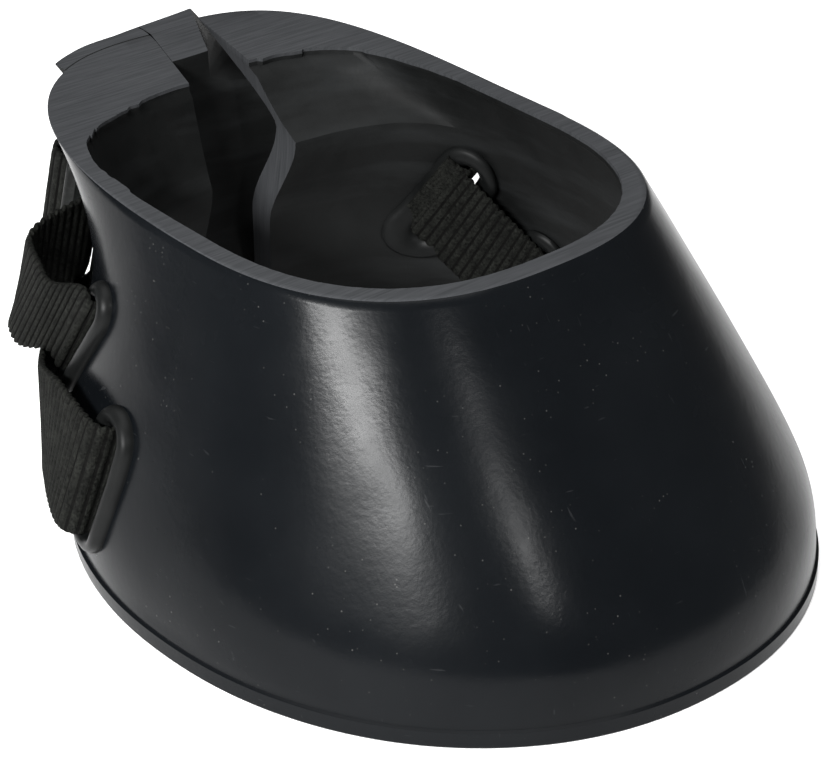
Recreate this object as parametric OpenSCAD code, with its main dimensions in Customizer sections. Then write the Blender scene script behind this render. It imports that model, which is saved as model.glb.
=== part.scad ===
// Hoof-shaped rubber bell boot with an open, lapped heel, closed by one webbing strap.
// Millimetres, +Z up, -Y is the toe, +Y is the heel, -X is the side with the buckle.
// The origin is the middle of the footprint, on the ground.

/* [Shell] */
// Height from the ground edge to the cut rim
shell_h = 72.5; // [71:0.5:74]
// Half width of the wall at the ground
ground_half_w = 72.4; // [71.4:0.5:73.4]
// Half width of the wall at the rim
rim_half_w = 48; // [47:0.5:49]
// Wall thickness round the toe and the sides
wall = 4.6; // [4.2:0.1:5.2]
// Length of the wall at the ground, toe to heel
ground_len = 163.4; // [162.4:0.5:164.4]
// How far the toe of the rim lies behind the toe of the ground edge
toe_setback = 47.4; // [46.4:0.5:48.4]
// How far the ground lip stands proud of the wall
lip_proud = 0.6; // [0.4:0.2:1.2]
// Height of the ground lip
lip_h = 3.8; // [3:0.2:4.6]

/* [Heel] */
// Depth of the waist above the heel bulbs on the buckle side
waist_right = 5; // [4:0.5:5.5]
// Depth of the waist on the other side
waist_left = 9.5; // [9:0.5:10]
// Gap between the two ends of the wall at the inside edge of the rim
heel_gap = 18; // [17.5:0.5:19]
// Thickness of the heel flap on the outside of the wall
flap_t = 4.5; // [4:0.5:5]

/* [Strap] */
// Width of the webbing
web_w = 25; // [24:0.5:25.5]
// Thickness of the webbing
web_t = 1.8; // [1.4:0.1:2]

/* [Eyelets] */
// Length of the slot in an eyelet
slot_len = 25.5; // [25.5:0.5:27]
// Width of the slot in an eyelet
slot_w = 5; // [4.6:0.2:5.4]
// Width of the rim round the slot
rim_w = 3.8; // [3.4:0.2:4.2]
// How far an eyelet stands proud of the wall
eyelet_proud = 2.4; // [2:0.2:2.8]

/* [Slider] */
// Height of the slider, across the webbing
slider_h = 32; // [31.5:0.5:33]
// Length of the slider, along the webbing
slider_l = 22; // [21:0.5:23]
// Thickness of the slider
slider_t = 5; // [4.4:0.2:5.4]

/* [Hidden] */

RIGHT = -1;
LEFT = 1;
OUTSIDE = 0;
INSIDE = 1;

// the rim and the flap reach this far back, and the ground lip as far forward
heel_reach = 98;
ground_toe_y = lip_proud - heel_reach;
ground_heel_y = ground_toe_y + ground_len;
rim_toe_y = ground_toe_y + toe_setback;
// the widest place of the wall moves back from the ground to the rim
wide_ground_y = -16.5;
wide_rim_y = 2;
// heights where the wall starts to lean in to the waist, and where the collar starts
lean_in_z = [28, 36];
collar_z = [50, 60];
rim_heel_y = [91, 93];
inside_heel_y = [60, 57];
inside_waist = [3.7, 10.3];
inside_rim_y = [62.5, 64.5];
collar_power = [2, 1.6];
inside_power = 0.6;
inside_squarer = 1.4;
// the lip runs round the toe and ends at the sides
lip_end_y = 24;
lip_fade = 4;
// each half stays this far from the middle plane at the toe
toe_clear = 0.15;
right_end_x = -3.4;
right_end_slope = 0.34;
left_end_slope = 0.22;
// the ends swing to the left at the waist
end_swing = 2.5;
rows = 20;
cols = 42;
black = [0.07, 0.07, 0.075];
grey = [0.13, 0.13, 0.14];
web_black = [0.03, 0.03, 0.03];

function clamp01(t) = min(1, max(0, t));
function smooth(t) = let (c = clamp01(t)) c * c * (3 - 2 * c);
function mix(a, b, t) = a + (b - a) * t;
function pick(side) = side == RIGHT ? 0 : 1;
function unit(v) = v / norm(v);

// The wall stands nearly upright at the ground, then leans in along a straight slope.
function soft(s) = s - 0.2 + sqrt(pow(s - 0.2, 2) + 0.01);
function lean(z) = (soft(z / shell_h) - soft(0)) / (soft(1) - soft(0));
function toe_y(z) = mix(ground_toe_y, rim_toe_y, lean(z));
function half_w(z) = mix(ground_half_w, rim_half_w, lean(z));
function wide_y(z) = mix(wide_ground_y, wide_rim_y, z / shell_h);
function collar(side, z) = clamp01((z - collar_z[pick(side)]) / (shell_h - collar_z[pick(side)]));
function waist_in(side, z) =
    let (a = lean_in_z[pick(side)], b = collar_z[pick(side)]) smooth((z - a) / (b - a));
function waist(side) = side == RIGHT ? waist_right : waist_left;
function outer_heel(side, z) =
    let (low = ground_heel_y - waist(side) * waist_in(side, z))
    low + (rim_heel_y[pick(side)] - ground_heel_y + waist(side))
        * pow(collar(side, z), collar_power[pick(side)]);
function inner_heel(side, z) =
    let (k = pick(side), low = inside_heel_y[k] - inside_waist[k] * waist_in(side, z))
    low + (inside_rim_y[k] - inside_heel_y[k] + inside_waist[k])
        * pow(collar(side, z), inside_power);
function heel_at(side, layer, z) = layer == OUTSIDE ? outer_heel(side, z) : inner_heel(side, z);
function toe_at(layer, z) = toe_y(z) + layer * wall;
function half_at(layer, z) = half_w(z) - layer * wall;
function toe_power(z) = mix(2.1, 2.5, z / shell_h);
function heel_power(side, z) =
    side == RIGHT ? mix(2, 2.3, z / shell_h) : mix(2.2, 4, pow(z / shell_h, 2));

// On the right half the inside grows squarer in plan than the outside, only in the collar,
// so the wall stays thick enough under it.
function layer_power(side, layer, z) =
    heel_power(side, z)
        + (side == RIGHT ? inside_squarer * layer * pow(collar(side, z), 2) : 0);

// A point of the wall. The angle runs from 0 at the toe to 180 at the heel.
function plan(side, layer, z, a) =
    let (w = half_at(layer, z), p = a < 90 ? toe_power(z) : layer_power(side, layer, z),
        reach = a < 90 ? wide_y(z) - toe_at(layer, z) : heel_at(side, layer, z) - wide_y(z))
    [side * w * sign(sin(a)) * pow(abs(sin(a)), 2 / p),
        wide_y(z) - sign(cos(a)) * reach * pow(abs(cos(a)), 2 / p), z];
function lip(layer, y, z) =
    layer == OUTSIDE && z < lip_h ? lip_proud * (1 - smooth((y - lip_end_y) / lip_fade)) : 0;
function outward(p) = unit([p[0], p[1] - wide_y(p[2]), 0]);
function with_lip(layer, p) = let (n = outward(p)) p + lip(layer, p[1], p[2]) * n;
// Each wall ends at the heel on a slanted plane. Own means measured towards the wall's own side.
function end_x(side, y, z) =
    let (swing = end_swing * waist_in(side, z) * (1 - collar(side, z)))
    swing + (side == RIGHT ? right_end_x + right_end_slope * (y - 61) :
        right_end_x + heel_gap + left_end_slope * (y - inside_rim_y[1]));
function y_at(side, layer, z, x) =
    let (p = layer_power(side, layer, z))
    wide_y(z) + (heel_at(side, layer, z) - wide_y(z))
        * pow(1 - pow(abs(x) / half_at(layer, z), p), 1 / p);
function last_angle(side, layer, z) =
    let (x1 = end_x(side, y_at(side, layer, z, 0), z),
        own = side * end_x(side, y_at(side, layer, z, x1), z))
    180 - sign(own) * asin(pow(abs(own) / half_at(layer, z), layer_power(side, layer, z) / 2));
function first_angle(layer, z) = asin(pow(toe_clear / half_at(layer, z), toe_power(z) / 2));
// Rows are close together at the lip and at the collar.
function row_z(i) =
    i == 0 ? 0 : i == 1 ? lip_h - 0.4 : i == 2 ? lip_h :
    mix(lip_h, shell_h, 1 - pow(1 - (i - 2) / (rows - 2), 1.3));
function wall_grid(side, layer) =
    [for (i = [0 : rows]) [for (j = [0 : cols])
        let (z = row_z(i), a = mix(first_angle(layer, z), last_angle(side, layer, z), j / cols),
            p = plan(side, layer, z, a))
        with_lip(layer, p)]];

// A closed solid between two grids of points, the first on the outside.
function flat(grid) = [for (row = grid, p = row) p];
function quad(a, b, c, d, flip) = flip ? [[a, c, b], [a, d, c]] : [[a, b, c], [a, c, d]];
module slab(outer, inner, flip = false) {
    r = len(outer) - 1;
    c = len(outer[0]) - 1;
    half = (r + 1) * (c + 1);
    o = [for (i = [0 : r]) [for (j = [0 : c]) i * (c + 1) + j]];
    n = [for (i = [0 : r]) [for (j = [0 : c]) half + i * (c + 1) + j]];
    faces = concat(
        [for (i = [0 : r - 1], j = [0 : c - 1])
            each quad(o[i][j], o[i][j + 1], o[i + 1][j + 1], o[i + 1][j], flip)],
        [for (i = [0 : r - 1], j = [0 : c - 1])
            each quad(n[i][j], n[i + 1][j], n[i + 1][j + 1], n[i][j + 1], flip)],
        [for (j = [0 : c - 1]) each quad(o[r][j], o[r][j + 1], n[r][j + 1], n[r][j], flip)],
        [for (j = [0 : c - 1]) each quad(o[0][j + 1], o[0][j], n[0][j], n[0][j + 1], flip)],
        [for (i = [0 : r - 1]) each quad(o[i][0], o[i + 1][0], n[i + 1][0], n[i][0], flip)],
        [for (i = [0 : r - 1]) each quad(o[i + 1][c], o[i][c], n[i][c], n[i + 1][c], flip)]);
    polyhedron(concat(flat(outer), flat(inner)), faces, convexity = 8);
}

// Each eyelet: side, how far back, height, and how far its slot leans to the toe.
eyelets = [
    [RIGHT, 31.3, 41.7, 30],
    [RIGHT, 7.6, 24, 11],
    [LEFT, 39, 40.5, 35],
    [LEFT, 23, 20.5, 27]];
R_UP = 0;
R_LOW = 1;
L_UP = 2;
L_LOW = 3;

// A point of the outer wall at a given y and z, its outward normal, and a slot's frame.
function wall_point(side, y, z) =
    let (p = heel_power(side, z),
        t = clamp01((y - wide_y(z)) / (outer_heel(side, z) - wide_y(z))))
    [side * half_w(z) * pow(1 - pow(t, p), 1 / p), y, z];
function wall_normal(side, y, z) =
    let (back = wall_point(side, y + 3, z) - wall_point(side, y - 3, z),
        up = wall_point(side, y, z + 5) - wall_point(side, y, z - 5))
    unit(cross(up, back) * -side);
function off_wall(side, y, z, d) = wall_point(side, y, z) + d * wall_normal(side, y, z);
function slot_normal(k) = wall_normal(eyelets[k][0], eyelets[k][1], eyelets[k][2]);
function slot_at(k) = wall_point(eyelets[k][0], eyelets[k][1], eyelets[k][2]);
function slot_long(k) =
    let (n = slot_normal(k), back = unit(cross([0, 0, 1], n)) * -eyelets[k][0],
        up = cross(n, back) * -eyelets[k][0] , u = up[2] < 0 ? -up : up)
    cos(eyelets[k][3]) * u - sin(eyelets[k][3]) * (back[1] < 0 ? -back : back);
function slot_cross(k) =
    let (c = cross(slot_long(k), slot_normal(k))) c;
module at_slot(k) {
    m = slot_cross(k);
    l = slot_long(k);
    n = slot_normal(k);
    p = slot_at(k);
    multmatrix([[m[0], l[0], n[0], p[0]], [m[1], l[1], n[1], p[1]], [m[2], l[2], n[2], p[2]],
        [0, 0, 0, 1]]) children();
}

// A slot shape with round ends.
module round_bar(length, width) {
    square([width, length - width], center = true);
    for (s = [-1, 1]) translate([0, s * (length - width) / 2]) circle(d = width, $fn = 48);
}
// Through the wall and proud of it on the outside and a little on the inside
eyelet_inner = wall + 1.2;
module eyelet_body() {
    translate([0, 0, -eyelet_inner]) linear_extrude(eyelet_inner + eyelet_proud)
        round_bar(slot_len + 2 * rim_w, slot_w + 2 * rim_w);
}
module eyelet(k) {
    color(black) at_slot(k) difference() {
        eyelet_body();
        translate([0, 0, -eyelet_inner - 1]) linear_extrude(eyelet_inner + eyelet_proud + 2)
            round_bar(slot_len, slot_w);
    }
}
// The hole in the wall that an eyelet fills
hole_past_inside = 4;
hole_past_outside = 6;
module eyelet_hole(k) {
    at_slot(k) translate([0, 0, -eyelet_inner - hole_past_inside])
        linear_extrude(eyelet_inner + hole_past_inside + hole_past_outside)
            round_bar(slot_len + 2 * rim_w, slot_w + 2 * rim_w);
}

module shell_right() {
    color(black) difference() {
        slab(wall_grid(RIGHT, OUTSIDE), wall_grid(RIGHT, INSIDE), false);
        eyelet_hole(R_UP);
        eyelet_hole(R_LOW);
    }
}
module shell_left() {
    color(black) difference() {
        slab(wall_grid(LEFT, OUTSIDE), wall_grid(LEFT, INSIDE), true);
        eyelet_hole(L_UP);
        eyelet_hole(L_LOW);
    }
}

// The flap is bonded on the outside of the right wall and bridges the gap at the heel.
flap_start_x = -19;
flap_end_x = 28;
flap_inside_rim_y = 75;
flap_fold = [72.6, 48];
flap_pocket_y = 74;
flap_foot_y = 68.5;
flap_bottom = 1;
flap_steps = 6;
seat_gap = 0.12;
// heights where each part of the inside face starts to blend into the next, and over how much
flap_fold_blend = [44, 4];
flap_pocket_blend = [16, 14];
flap_pocket_top = 30;
// the outside leaves the wall's own curve here, and straightens over this much
flap_lead = [14, 18];
flap_collar_rise = 0.1;
flap_bow = 0.006;
flap_rim_cut = [62, 4];
bridge_lap = 0.5;
bridge_hair = 0.05;
function flap_seat(x, z) = y_at(RIGHT, OUTSIDE, z, x);
// Inside face of the bridge: rim, fold, heel-bulb pocket and foot
function bridge_y(z) =
    z > flap_fold[1] ?
        mix(flap_fold[0], flap_inside_rim_y, (z - flap_fold[1]) / (shell_h - flap_fold[1])) :
    z > flap_pocket_top ?
        mix(flap_pocket_y, flap_fold[0], smooth((z - flap_fold_blend[0]) / flap_fold_blend[1])) :
    mix(flap_foot_y, flap_pocket_y, smooth((z - flap_pocket_blend[0]) / flap_pocket_blend[1]));
function flap_outer_y(x, z) =
    let (seat = flap_seat(min(x, 0), z), k = collar(RIGHT, z))
    mix(seat, max(bridge_y(z), flap_seat(0, z)), smooth((x + flap_lead[0]) / flap_lead[1]))
        + flap_t + k * k * flap_collar_rise * max(x, 0) - flap_curve(x, z);
function flap_curve(x, z) = flap_bow * pow(max(x, 0), 2) * (1 - flap_cut(z));
// Level with the collar of the left wall the flap is cut back to end against it.
flap_cut_back = [5.5, 17];
function flap_cut(z) = smooth((z - flap_rim_cut[0]) / flap_rim_cut[1]);
function flap_last(layer, z) = flap_end_x - flap_cut_back[layer] * flap_cut(z);
function flap_zs() = [for (i = [0 : 24]) mix(flap_bottom, shell_h, 1 - pow(1 - i / 24, 1.2))];
// the seat ends at the corner of the right wall's end, and the bridge starts just past that end
function seat_end(z) = end_x(RIGHT, flap_seat(0, z), z);
function bridge_start(z) =
    min(seat_end(z) + bridge_hair, end_x(RIGHT, bridge_y(z), z) + bridge_lap);
function flap_xs(layer, z) = concat(
    [for (i = [0 : flap_steps]) mix(flap_start_x, seat_end(z), i / flap_steps)],
    [for (i = [0 : flap_steps])
        mix(layer == OUTSIDE ? seat_end(z) + bridge_hair : bridge_start(z), flap_last(layer, z),
            i / flap_steps)]);
function flap_row(layer, z) =
    let (xs = flap_xs(layer, z))
    [for (i = [0 : len(xs) - 1])
        [xs[i], layer == OUTSIDE ? flap_outer_y(xs[i], z) :
            i <= flap_steps ? flap_seat(xs[i], z) + seat_gap : bridge_y(z) - flap_curve(xs[i], z),
            z]];
module heel_flap() {
    color(grey) slab([for (z = flap_zs()) flap_row(OUTSIDE, z)],
        [for (z = flap_zs()) flap_row(INSIDE, z)], false);
}

// Webbing: a flat ribbon along a smooth curve through its points, each [point, across].
function curve(a, b, c, d, t) =
    0.5 * (2 * b + (c - a) * t + (2 * a - 5 * b + 4 * c - d) * t * t
        + (3 * b - a - 3 * c + d) * t * t * t);
function at(list, i) = list[min(len(list) - 1, max(0, i))];
function fine(route, k, steps) =
    [for (i = [0 : len(route) - 2], s = [0 : steps - 1])
        curve(at(route, i - 1)[k], route[i][k], route[i + 1][k], at(route, i + 2)[k], s / steps),
        route[len(route) - 1][k]];
module ribbon(route, steps = 5) {
    p = fine(route, 0, steps);
    w = fine(route, 1, steps);
    m = len(p) - 1;
    t = [for (i = [0 : m]) unit(p[min(m, i + 1)] - p[max(0, i - 1)])];
    n = [for (i = [0 : m]) unit(cross(t[i], w[i]))];
    side = [for (s = [-1, 1]) [for (i = [0 : m]) p[i] + s * web_w / 2 * unit(w[i])]];
    outer = [for (row = side) [for (i = [0 : m]) row[i] + n[i] * web_t / 2]];
    inner = [for (row = side) [for (i = [0 : m]) row[i] - n[i] * web_t / 2]];
    slab(outer, inner, true);
}
// The ribbon's own step through a slot: d is the distance out of the wall, m along the wall.
function slot_step(k, d, m = 0) =
    [slot_at(k) + d * slot_normal(k) + m * slot_cross(k) * heelward(k), slot_long(k)];
function heelward(k) = slot_cross(k)[1] > 0 ? 1 : -1;
mid_wall = -wall / 2;
// Spans of the strap meet end to end with a hairline between them.
hair = 0.3;
function in_wall(side, y, z, d, across) = [off_wall(side, y, z, d), across];

inside_off = -wall - 5;
// the strap comes in this far past the middle of the wall, then turns in two steps
slot_in = 4;
turn_rise = 1;
turn_near = 3.4;
turn_far = 7;
module inside_span(upper, lower) {
    ribbon([slot_step(upper, mid_wall - hair), slot_step(upper, mid_wall - slot_in),
        slot_step(upper, inside_off + turn_rise, -turn_near),
        slot_step(upper, inside_off, -turn_far),
        slot_step(lower, inside_off, turn_far),
        slot_step(lower, inside_off + turn_rise, turn_near),
        slot_step(lower, mid_wall - slot_in), slot_step(lower, mid_wall - hair)]);
}
module strap_inside_right() { color(web_black) inside_span(R_UP, R_LOW); }
module strap_inside_left() { color(web_black) inside_span(L_UP, L_LOW); }

UP = [0, 0, 1];
lower_z = 17.5;
upper_z = 45;
// both heel passes are split here, in the gap of the shell
split_x = 7;
heel_pass_y = 80;
// outside, it clears the eyelet's rim and turns towards the heel
slot_out = 2.6;
turn_out = [4.4, 3.6];
function leave_slot(k) = [slot_step(k, mid_wall + hair), slot_step(k, slot_out),
    slot_step(k, turn_out[0], turn_out[1])];
module strap_lower_right() {
    color(web_black) ribbon(concat(leave_slot(R_LOW), [
        in_wall(RIGHT, 26, 24, 4.2, slot_long(R_LOW) + UP),
        in_wall(RIGHT, 40, 20.8, 4.6, UP),
        [[-38, 62, 21.5], UP], [[-25, 72.5, 18], UP], [[-10, 79.4, lower_z], UP],
        [[0, heel_pass_y, lower_z], UP], [[split_x - hair, heel_pass_y, lower_z], UP]]));
}
module strap_lower_left() {
    color(web_black) ribbon(concat(leave_slot(L_LOW), [
        in_wall(LEFT, 38, 17.5, 6.5, slot_long(L_LOW) + UP), in_wall(LEFT, 50, 16.5, 7, UP),
        [[39, 71, 17], UP], [[25, 78, lower_z], UP], [[14, heel_pass_y, lower_z], UP],
        [[split_x + hair, heel_pass_y, lower_z], UP]]));
}
module strap_upper_left() {
    color(web_black) ribbon(concat(leave_slot(L_UP), [
        in_wall(LEFT, 51, 43.5, 6, slot_long(L_UP) + UP),
        [[38, 68.5, 45], UP], [[25, 77.8, upper_z], UP], [[14, heel_pass_y, upper_z], UP],
        [[split_x + hair, heel_pass_y, upper_z], UP]]));
}

// Slider: an outer frame and a round middle bar, tangent to the heel, leaning with the wall
slider_at = [-22.7, 78.3, 47.5];
slider_turn = 48;
slider_lean = 12;
slider_tilt = 14;
slider_slot_l = web_w + 1.6;
slider_bar_r = 2.2;
slider_end = 3.6;
function turn(v) =
    let (x = v[0] * cos(slider_tilt) - v[2] * sin(slider_tilt),
        z = v[0] * sin(slider_tilt) + v[2] * cos(slider_tilt),
        a = [x, v[1] * cos(slider_lean) - z * sin(slider_lean),
            v[1] * sin(slider_lean) + z * cos(slider_lean)])
    [a[0] * cos(slider_turn) - a[1] * sin(slider_turn),
        a[0] * sin(slider_turn) + a[1] * cos(slider_turn), a[2]];
slider_up = turn([0, 0, 1]);
function by_slider(x, y) = [slider_at + turn([x, y, 0]), slider_up];
module rounded_plate(w, h, r) {
    square([w - 2 * r, h], center = true);
    square([w, h - 2 * r], center = true);
    for (x = [-1, 1], y = [-1, 1])
        translate([x * (w / 2 - r), y * (h / 2 - r)]) circle(r = r, $fn = 40);
}
module slider() {
    color(grey) translate(slider_at) rotate([slider_lean, 0, slider_turn]) rotate([0, -slider_tilt, 0]) {
        rotate([90, 0, 0]) translate([0, 0, -slider_t / 2]) linear_extrude(slider_t)
            difference() {
                rounded_plate(slider_l, slider_h, 3);
                rounded_plate(slider_l - 2 * slider_end, slider_slot_l, 1.2);
            }
        cylinder(r = slider_bar_r, h = slider_slot_l + 2, center = true, $fn = 40);
    }
}

// The anchor end leaves the upper right slot, bows out, passes under the slider's near end bar
// and comes up through the window to make a loose loop over the middle bar.
loop_r = slider_bar_r + web_t / 2 + 0.25;
under_end = -4.5;
function by_bar(a) = by_slider(loop_r * cos(a), loop_r * sin(a));
module strap_anchor() {
    color(web_black) ribbon(concat(leave_slot(R_UP), [
        [[-55.3, 46.5, 41.6], slot_long(R_UP)], [[-52.8, 54.2, 42], slot_long(R_UP)],
        by_slider(-31, 6.4), by_slider(-24.5, 3.8), by_slider(-18.5, -0.6),
        by_slider(-14.4, under_end + 0.7), by_slider(-11, under_end), by_slider(-8, under_end),
        by_slider(-6.2, -4), by_slider(-5, -2), by_slider(-4.7, 1), by_slider(-3.8, 4.2),
        by_slider(-1, 6.2), by_slider(2.2, 4.9),
        by_bar(0), by_bar(-50), by_bar(-90), by_bar(-110)]));
}
// The running end comes over the heel bar of the slider, goes down and passes under it.
run_x = 5.5;
run_under = -5.6;
tail_from = 1;
module strap_upper_right() {
    color(web_black) ribbon([[[split_x - hair, heel_pass_y, upper_z], UP],
        [[1, heel_pass_y + 0.3, upper_z], UP], [[-8, 84.5, 48], UP + slider_up],
        by_slider(15, 5), by_slider(11, 5.6), by_slider(7.6, 5.3), by_slider(run_x, 1),
        by_slider(run_x, -2.4), by_slider(3.6, -5), by_slider(tail_from + hair, run_under)]);
}
module strap_tail() {
    color(web_black) ribbon([by_slider(tail_from - hair, run_under),
        by_slider(-4, run_under - 0.8), by_slider(-9, run_under - 1),
        by_slider(-14, run_under - 1.2)]);
}

shell_right();
shell_left();
heel_flap();
eyelet(R_UP);  // eyelet_right_upper
eyelet(R_LOW);  // eyelet_right_lower
eyelet(L_UP);  // eyelet_left_upper
eyelet(L_LOW);  // eyelet_left_lower
strap_anchor();
strap_inside_right();
strap_lower_right();
strap_lower_left();
strap_inside_left();
strap_upper_left();
strap_upper_right();
strap_tail();
slider();
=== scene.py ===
import math

import bmesh
import bpy
import numpy as np
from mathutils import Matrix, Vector, noise


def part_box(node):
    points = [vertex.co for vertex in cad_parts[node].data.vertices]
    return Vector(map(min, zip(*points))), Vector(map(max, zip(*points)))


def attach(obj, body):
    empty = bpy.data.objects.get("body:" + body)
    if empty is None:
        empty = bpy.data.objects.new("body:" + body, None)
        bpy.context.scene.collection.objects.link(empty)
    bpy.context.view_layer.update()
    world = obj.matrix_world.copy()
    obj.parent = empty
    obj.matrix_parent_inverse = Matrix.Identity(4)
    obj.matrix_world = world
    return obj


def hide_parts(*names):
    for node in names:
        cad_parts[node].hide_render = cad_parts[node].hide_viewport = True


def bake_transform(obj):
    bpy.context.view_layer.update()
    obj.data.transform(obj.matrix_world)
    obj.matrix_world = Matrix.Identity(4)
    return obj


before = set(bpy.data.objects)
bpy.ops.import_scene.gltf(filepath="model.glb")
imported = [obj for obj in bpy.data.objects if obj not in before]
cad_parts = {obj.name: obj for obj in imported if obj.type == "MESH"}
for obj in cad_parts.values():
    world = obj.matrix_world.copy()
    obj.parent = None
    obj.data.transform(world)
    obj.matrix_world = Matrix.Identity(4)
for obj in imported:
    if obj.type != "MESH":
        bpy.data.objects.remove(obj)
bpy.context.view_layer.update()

MM = 0.001
RIGHT, LEFT = -1, 1

# ---------------------------------------------------------------- sizes, in millimetres
low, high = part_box("shell_right")
SHELL_H = high[2] / MM
WALL = 4.6
LIP_PROUD = 0.6
GROUND_HALF_W = -low[0] / MM - LIP_PROUD
RIM_HALF_W = 48
LIP_TOP = 3.8
HEEL_REACH = -low[1] / MM
GROUND_TOE_Y = LIP_PROUD - HEEL_REACH
GROUND_HEEL_Y = GROUND_TOE_Y + 163.4
RIM_TOE_Y = GROUND_TOE_Y + 47.4
WAIST = {RIGHT: 5, LEFT: 9.5}
LEAN_IN_Z = {RIGHT: 28, LEFT: 36}
COLLAR_Z = {RIGHT: 50, LEFT: 60}
RIM_HEEL_Y = {RIGHT: 91, LEFT: 93}
INSIDE_HEEL_Y = {RIGHT: 60, LEFT: 57}
INSIDE_WAIST = {RIGHT: 3.7, LEFT: 10.3}
INSIDE_RIM_Y = {RIGHT: 62.5, LEFT: 64.5}
COLLAR_POWER = {RIGHT: 2, LEFT: 1.6}
INSIDE_POWER = 0.6
INSIDE_SQUARER = 1.4
TOE_POWER = (2.1, 2.5)
WIDE_GROUND_Y = -16.5
WIDE_RIM_Y = 2
LIP_END_Y = 24
LIP_FADE = 4
LIP_STEP = 0.35
RIGHT_END_X = -3.4
RIGHT_END_Y = 61
RIGHT_END_SLOPE = 0.34
LEFT_END_SLOPE = 0.22
HEEL_GAP = 18
END_SWING = 2.5
WEB_W = 25
WEB_T = 1.8
SLOT_LEN = 25.5
SLOT_W = 5
BEAD_W = 3.8
BEAD_H = 2.4


def clamp01(t):
    return min(1.0, max(0.0, t))


def smooth(t):
    c = clamp01(t)
    return c * c * (3 - 2 * c)


def mix(a, b, t):
    return a + (b - a) * t


def unit(v):
    v = np.asarray(v, float)
    return v / np.linalg.norm(v)


# ---------------------------------------------------------------- the wall's shape
def soft(s):
    """Near zero at first, then a straight rise."""
    return s - 0.2 + math.sqrt((s - 0.2) ** 2 + 0.01)


def lean(z):
    """How far the wall has leaned in at this height, from 0 to 1."""
    return (soft(z / SHELL_H) - soft(0)) / (soft(1) - soft(0))


def half_w(z):
    return mix(GROUND_HALF_W, RIM_HALF_W, lean(z))


def wide_y(z):
    return mix(WIDE_GROUND_Y, WIDE_RIM_Y, z / SHELL_H)


def collar(side, z):
    return clamp01((z - COLLAR_Z[side]) / (SHELL_H - COLLAR_Z[side]))


def waist_in(side, z):
    return smooth((z - LEAN_IN_Z[side]) / (COLLAR_Z[side] - LEAN_IN_Z[side]))


def outer_heel(side, z):
    start = GROUND_HEEL_Y - WAIST[side] * waist_in(side, z)
    rise = RIM_HEEL_Y[side] - GROUND_HEEL_Y + WAIST[side]
    return start + rise * collar(side, z) ** COLLAR_POWER[side]


def inner_heel(side, z):
    start = INSIDE_HEEL_Y[side] - INSIDE_WAIST[side] * waist_in(side, z)
    rise = INSIDE_RIM_Y[side] - INSIDE_HEEL_Y[side] + INSIDE_WAIST[side]
    return start + rise * collar(side, z) ** INSIDE_POWER


def heel_at(side, layer, z):
    return inner_heel(side, z) if layer else outer_heel(side, z)


def half_at(layer, z):
    return half_w(z) - layer * WALL


def heel_power(side, z):
    s = z / SHELL_H
    return mix(2, 2.3, s) if side == RIGHT else mix(2.2, 4, s * s)


def layer_power(side, layer, z):
    squarer = INSIDE_SQUARER * layer * collar(side, z) ** 2 if side == RIGHT else 0
    return heel_power(side, z) + squarer


def end_x(side, y, z):
    """The slanted plane where a wall ends at the heel."""
    swing = END_SWING * waist_in(side, z) * (1 - collar(side, z))
    if side == RIGHT:
        return swing + RIGHT_END_X + RIGHT_END_SLOPE * (y - RIGHT_END_Y)
    return swing + RIGHT_END_X + HEEL_GAP + LEFT_END_SLOPE * (y - INSIDE_RIM_Y[LEFT])


def y_at(side, layer, z, x):
    """How far back the heel part of the wall is at this x."""
    p = layer_power(side, layer, z)
    reach = heel_at(side, layer, z) - wide_y(z)
    return wide_y(z) + reach * (1 - (abs(x) / half_at(layer, z)) ** p) ** (1 / p)


def last_angle(side, layer, z):
    x1 = end_x(side, y_at(side, layer, z, 0), z)
    own = side * end_x(side, y_at(side, layer, z, x1), z)
    share = abs(own) / half_at(layer, z)
    turn = math.degrees(math.asin(share ** (layer_power(side, layer, z) / 2)))
    return 180 - math.copysign(turn, own)


def plan(side, layer, z, angle):
    """A point of the wall. The angle runs from 0 at the toe to 180 at the heel."""
    s, c = math.sin(math.radians(angle)), math.cos(math.radians(angle))
    if angle < 90:
        p = mix(*TOE_POWER, z / SHELL_H)
        toe = mix(GROUND_TOE_Y, RIM_TOE_Y, lean(z)) + layer * WALL
        reach = wide_y(z) - toe
    else:
        p = layer_power(side, layer, z)
        reach = heel_at(side, layer, z) - wide_y(z)
    x = side * half_at(layer, z) * math.copysign(abs(s) ** (2 / p), s)
    y = wide_y(z) - math.copysign(abs(c) ** (2 / p), c) * reach
    return np.array([x, y, z])


def with_lip(p):
    x, y, z = p
    along = 1 - smooth((y - LIP_END_Y) / LIP_FADE)
    up = 1 - smooth((z - LIP_TOP + LIP_STEP) / LIP_STEP)
    return p + LIP_PROUD * along * up * unit([x, y - wide_y(z), 0])


def wall_point(side, y, z):
    p = heel_power(side, z)
    t = clamp01((y - wide_y(z)) / (outer_heel(side, z) - wide_y(z)))
    return np.array([side * half_w(z) * (1 - t ** p) ** (1 / p), y, z])


def inner_x(side, y, z):
    """Half width of the hollow at this place in the heel part."""
    p = layer_power(side, 1, z)
    t = clamp01((y - wide_y(z)) / (inner_heel(side, z) - wide_y(z)))
    return half_at(1, z) * (1 - t ** p) ** (1 / p)


def wall_normal(side, y, z):
    back = wall_point(side, y + 3, z) - wall_point(side, y - 3, z)
    up = wall_point(side, y, z + 5) - wall_point(side, y, z - 5)
    return unit(np.cross(up, back) * -side)


def off_wall(side, y, z, d):
    return wall_point(side, y, z) + d * wall_normal(side, y, z)


# ---------------------------------------------------------------- mesh helpers
def ripple(p, size, amount, seed=0.0):
    """Smooth unevenness: bumps about this size, at most about this high."""
    v = Vector((p[0] / size + seed, p[1] / size - seed, p[2] / size + 3 * seed))
    return amount * noise.noise(v)


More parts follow.
